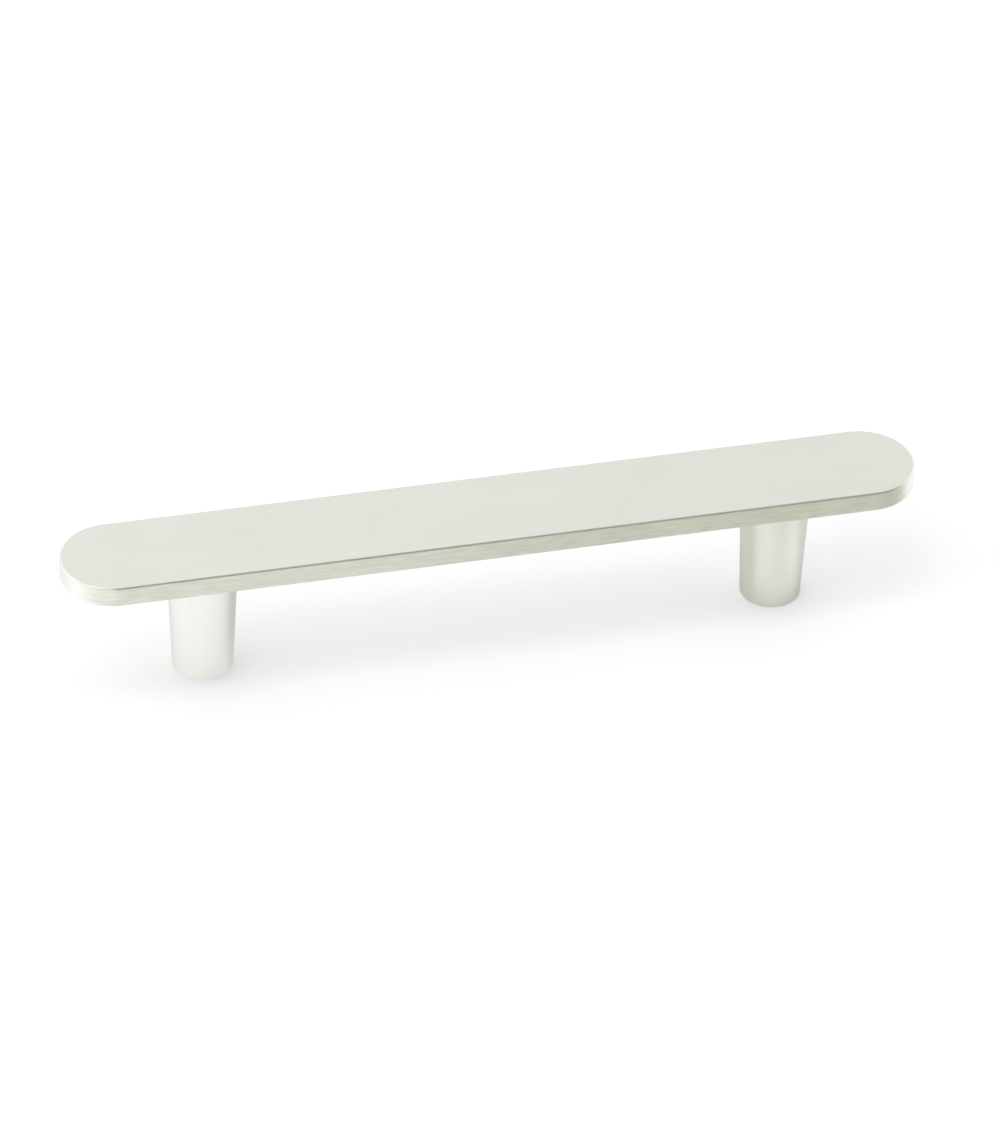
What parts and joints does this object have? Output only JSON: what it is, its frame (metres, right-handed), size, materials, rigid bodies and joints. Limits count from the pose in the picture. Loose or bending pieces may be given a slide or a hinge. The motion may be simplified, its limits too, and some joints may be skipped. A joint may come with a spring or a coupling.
{
  "type": "cabinet pull",
  "caption": "Flat bar cabinet pull with fully rounded ends, standing on tapered round posts that screw to a door or drawer front from behind.",
  "frame": {"origin": "on the plane of the posts' bases, midway between the posts", "axes": "+X along the bar, +Y across the bar, +Z from the posts' bases up to the bar, away from the door or drawer front"},
  "size_m": [0.19, 0.0232, 0.0322],
  "materials": {
    "satin_nickel": "satin brushed nickel, the grain along the bar and round the posts",
    "stud_steel": "plain machined steel"
  },
  "bodies": {
    "root": {"bar": "satin_nickel", "post_left": "satin_nickel", "post_right": "satin_nickel", "joining_studs": "stud_steel"}
  },
  "joints": []
}
